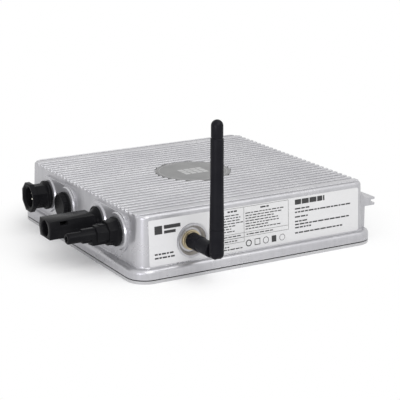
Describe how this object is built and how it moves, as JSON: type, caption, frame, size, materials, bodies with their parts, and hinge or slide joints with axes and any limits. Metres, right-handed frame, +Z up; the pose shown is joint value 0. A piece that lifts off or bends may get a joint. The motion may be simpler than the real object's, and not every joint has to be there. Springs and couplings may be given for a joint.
{
  "type": "solar microinverter",
  "caption": "Flat solar microinverter with a ribbed cast housing, plug-in panel and mains connectors on its left wall and a folding antenna in front.",
  "frame": {"origin": "centre of the base plate's underside", "axes": "+X along the labelled front, from the connectors to the lugs; +Y from the front to the back; +Z up through the ribbed roof"},
  "size_m": [0.3495, 0.3301, 0.166],
  "materials": {
    "cast_housing": "fine cast and blasted, satin",
    "plate": "satin sheet",
    "screw_steel": "satin",
    "label_film": "pale printed film",
    "disc_film": "grey printed plate",
    "black_plastic": "moulded, fine grain",
    "mast_plastic": "soft satin",
    "grey_plastic": "moulded",
    "seal_rubber": "matte",
    "brass": "pale plated",
    "pin_steel": "polished",
    "contact_tin": "tinned",
    "board_green": "lacquered",
    "radio_blue": "lacquered",
    "ferrite": "dull",
    "copper_wire": "enamelled",
    "can_sleeve": "shrunk sleeve",
    "film_yellow": "moulded box",
    "relay_blue": "moulded box",
    "chip_black": "moulded",
    "pad_grey": "soft",
    "lead_black": "insulated",
    "lead_brown": "insulated"
  },
  "bodies": {
    "case": {"housing": "cast_housing", "base_plate": "plate", "base_gasket": "seal_rubber", "base_screws": "screw_steel", "front_label": "label_film", "top_disc": "disc_film", "mains_inlet_body": "black_plastic", "mains_inlet_insert": "grey_plastic", "mains_inlet_pins": "contact_tin", "mains_inlet_seal": "seal_rubber", "mains_inlet_nut": "black_plastic", "mains_outlet_body": "black_plastic", "mains_outlet_contacts": "contact_tin", "mains_outlet_cap": "black_plastic", "mains_outlet_seal": "seal_rubber", "mains_outlet_nut": "black_plastic", "dc_socket_body": "black_plastic", "dc_socket_pin": "contact_tin", "dc_socket_seal": "seal_rubber", "dc_socket_nut": "black_plastic", "dc_plug_body": "black_plastic", "dc_plug_contact": "contact_tin", "dc_plug_seal": "seal_rubber", "dc_plug_nut": "black_plastic", "antenna_jack": "brass", "jack_washer": "seal_rubber", "jack_nut": "brass", "coupling_nut": "mast_plastic", "main_board": "board_green", "board_screws": "screw_steel", "transformer_cores": "ferrite", "transformer_windings": "copper_wire", "input_capacitors": "can_sleeve", "film_capacitors": "film_yellow", "choke_core": "ferrite", "choke_winding": "copper_wire", "relays": "relay_blue", "power_transistors": "chip_black", "heat_pad": "pad_grey", "clamp_bar": "plate", "clamp_screws": "screw_steel", "controller_chip": "chip_black", "radio_board": "radio_blue", "dc_leads": "lead_black", "mains_leads": "lead_black", "antenna_lead": "lead_brown"},
    "neck": {"antenna_neck": "mast_plastic"},
    "mast": {"hinge_pin": "pin_steel", "mast_fork": "mast_plastic", "mast_sleeve": "mast_plastic", "mast_tip": "mast_plastic", "antenna_rod": "brass"}
  },
  "joints": [
    {"name": "antenna_swivel", "type": "hinge", "parent": "case", "child": "neck", "pos_m": [-0.077, -0.1335, 0.035], "axis": [0, -1, 0], "continuous": true},
    {"name": "antenna_tilt", "type": "hinge", "parent": "neck", "child": "mast", "pos_m": [-0.077, -0.181, 0.035], "axis": [1, 0, 0], "range_deg": [0, 90]}
  ]
}
